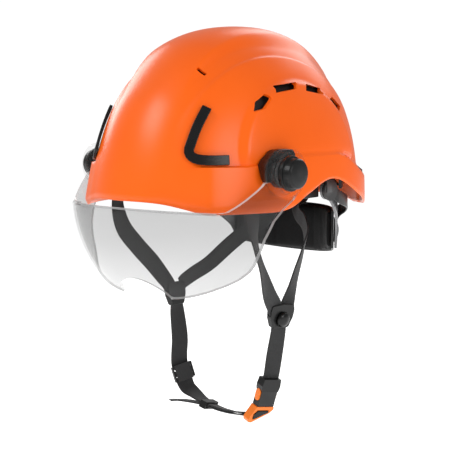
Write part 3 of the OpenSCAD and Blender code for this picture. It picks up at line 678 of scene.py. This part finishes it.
strap("rear_strap_right_webbing", "rear_strap_right",
      [(-10, 117, 16), (-10, 108, 4), (-12.4, 97, -7), (-19, 85.6, -22), (-32.4, 77.6, -34), (-43.6, 65.6, -45),
      (-54, 49, -60), (-62, 28, -77), (-66.8, 8, -86.6), (-68.2, -5, -92.6), (-67.3, -11, -95.8)],
      [(0, -0.7, 0.7), (0, -0.8, 0.6), (0.1, -1, 0.3), (0.3, -0.95, 0), (0.45, -0.9, 0), (0.6, -0.8, 0),
      (0.75, -0.65, 0), (0.88, -0.4, 0), (0.97, -0.1, 0), (0.988, 0.1, 0), (0.988, 0.156, 0)], NARROW)
strap("lower_strap_left_webbing", "lower_strap_left",
      [(63.8, -14.2, -119.2), (63.2, -14.6, -127.5), (60.2, -16, -149), (57.7, -17.2, -167.9), (55.7, -18, -176)],
      turned([-9, -12, -18, -16, -16]), BROAD)
LOCK_OUT = (-0.916, 0.347, -0.204)
strap("lower_strap_right_webbing", "lower_strap_right",
      [(-63.4, -21.2, -111.6), (-62.8, -20.6, -122), (-60.6, -19.4, -148), (-60, -21, -166),
      (-59.4, -21.2, -174.9), (-58.2, -20.5, -179.3)],
      turned([-171, -184, -198, -198]) + [LOCK_OUT, LOCK_OUT], BROAD)
LOCK = Vector((-54.7, -20.8, -183)) - Vector(LOCK_OUT) * 1.9
LOCK_DOWN = Vector((0.265, 0.138, -0.954))
strap("lock_loop_webbing", "lower_strap_right",
      [LOCK + LOCK_DOWN * d for d in (-8.5, -4, 0, 4, 8.5)], [LOCK_OUT] * 5, 17.4, stands_for=False)
CHIN = [(-55.8, -19.3, -187.7), (-54.8, -18.6, -192.4), (-50.6, -18.2, -199), (-42, -16.6, -204.2),
        (-34, -15.4, -208.6), (-25, -14.4, -211.8), (-14, -13.4, -213.9), (-4, -13.5, -214.6), (8, -14.2, -214.4),
        (18, -15.4, -213.2), (29, -18.4, -210.4), (36, -21.6, -208)]
CHIN_FACE = [(-0.916, 0.347, -0.204), (-0.916, 0.347, -0.204), (-0.86, 0.2, -0.47), (-0.7, 0, -0.7),
             (-0.5, -0.15, -0.85), (-0.3, -0.25, -0.92), (-0.14, -0.3, -0.94), (0, -0.3, -0.95),
             (0.08, -0.3, -0.94), (0.14, -0.3, -0.94), (0.25, -0.28, -0.92), (0.35, -0.25, -0.9)]


def below(k, gap):
    """A point under the chin strap's point k, for the tail that lies along it."""
    return tuple(np.array(CHIN[k]) + unit(np.array(CHIN_FACE[k], float)) * gap)


chin = strap("chin_webbing", "chin_strap", CHIN, CHIN_FACE, BROAD)
tail = strap("tail_webbing", "strap_tail",
             [below(10, 2.2), below(9, 2), below(8, 2), below(7, 2), below(6, 2), below(5, 2), (-34, -17.4, -212.6),
              (-44, -24, -210.8), (-52, -32, -209.6), (-57, -38, -209.4)],
             CHIN_FACE[10:4:-1] + [(-0.2, -0.3, -0.95), (-0.12, -0.3, -0.95), (0, -0.3, -0.95), (0, -0.3, -0.95)],
             BROAD)
follow_plug(chin)
follow_plug(tail)
CROWN = [(85.4, -48, 10), (78.8, -45.1, 20.6), (72.4, -42, 31), (70.6, -41.2, 42), (64.4, -37.6, 60), (50, -30, 87),
         (29, -18.4, 106), (12, -9, 114), (0, -2, 115.6), (-12, 6, 114), (-29, 16.6, 106), (-50, 30.4, 87),
         (-63.4, 39.8, 60), (-69, 43, 42), (-71, 44.2, 31), (-76.2, 47.6, 20.6), (-84, 52, 10)]
for name, node, flip, lift in (("crown_tape_a", "crown_strap_a", 1, 0), ("crown_tape_b", "crown_strap_b", -1, 2.6)):
    path = [(flip * x, y, z + lift * float(smooth(60, 110, z))) for x, y, z in CROWN]
    strap(name, node, path, [(x, y, max(z - 20, 0) * 0.9) for x, y, z in path], TAPE, 1.2)


# ---------- pads ----------
def soft_pad(name, node, reach):
    """A knitted cover over foam: the CAD pad, remeshed, blown out a little by cloth pressure, and smoothed."""
    bm = merged_copy(node)
    part = piece_from(name, bm, slot_of[node], frame["nodes"][node]["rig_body"], [node], 80)
    remesh = part.modifiers.new("skin", "REMESH")
    remesh.mode, remesh.voxel_size, remesh.use_smooth_shade = "VOXEL", 0.0028, True
    settle(part)
    start = np.array([v.co for v in part.data.vertices])
    cloth = part.modifiers.new("cloth", "CLOTH")
    cloth.settings.use_pressure = True
    cloth.settings.uniform_pressure_force = 4
    cloth.settings.effector_weights.gravity = 0
    cloth.settings.quality = 4
    last = 16
    cloth.point_cache.frame_start, cloth.point_cache.frame_end = 1, last
    for moment in range(1, last + 1):
        scene.frame_set(moment)
    settle(part)
    scene.frame_set(1)
    moved = np.array([v.co for v in part.data.vertices]) - start
    far = np.linalg.norm(moved, axis=1, keepdims=True)
    moved *= np.minimum(1, reach * MM / np.maximum(far, 1e-9))
    for vertex, spot in zip(part.data.vertices, start + moved):
        vertex.co = spot
    ease = part.modifiers.new("ease", "SMOOTH")
    ease.factor, ease.iterations = 0.5, 4
    fine = part.modifiers.new("fine", "SUBSURF")
    fine.levels = fine.render_levels = 1
    settle(part)
    part.data.materials.clear()
    part.data.materials.append(finish[slot_of[node]])
    part.data.shade_smooth()


soft_pad("nape_cushion", "nape_pad", 0.8)
soft_pad("brow_cushion", "sweatband", 0.6)

# ---------- moulded parts ----------
# How far each part's edges are eased, in millimetres; a name also covers the left, right, front and rear of its kind
EASED = {
    "visor_lens": 0.3, "visor_bracket": 0.9, "visor_knob": 0.5, "friction_washer": 0.2, "pivot_bolt": 0.2,
    "lamp_clip_front": 0.5, "lamp_clip_rear": 0.5, "buckle_socket": 0.8, "buckle_plug": 0.9, "release_button": 0.6,
    "divider_button": 0.3, "divider": 0.7, "ladder_lock": 0.5, "keeper": 0.4, "plug_grip": 0.3, "liner": 0,
    "vent_mesh": 0, "nape_band": 0.5, "headband": 0.4, "ratchet_wheel": 0.4, "ratchet_housing": 0.6,
    "ratchet_cover": 0.5, "ratchet_pinion": 0, "rack": 0, "ratchet_axle": 0.2, "hanger_arm": 0.5,
    "hanger_plug": 0.4, "cradle_link": 0.4, "crown_anchors": 0.4, "strap_anchors": 0.3,
}
for node, part in frame["nodes"].items():
    if part.hide_render:
        continue
    kind = max((k for k in EASED if node.startswith(k)), key=len)   # the longest name that fits
    part = refined(node, EASED[kind])
    if node == "visor_lens":
        mark_rim(part)
    if node == "keeper":
        follow_plug(part)

# ---------- floor ----------
bm = bmesh.new()
bmesh.ops.create_grid(bm, x_segments=1, y_segments=1, size=FLOOR_HALF)
bmesh.ops.translate(bm, verts=bm.verts, vec=(0, 0, FLOOR_Z))
mesh = bpy.data.meshes.new("floor")
bm.to_mesh(mesh)
bm.free()
floor = place("floor", mesh)
floor_paint = Paint("pale_floor", (0.9, 0.9, 0.9), 0.9, emission_color=(1, 1, 1, 1), emission_strength=0.68)
mesh.materials.append(floor_paint.material)
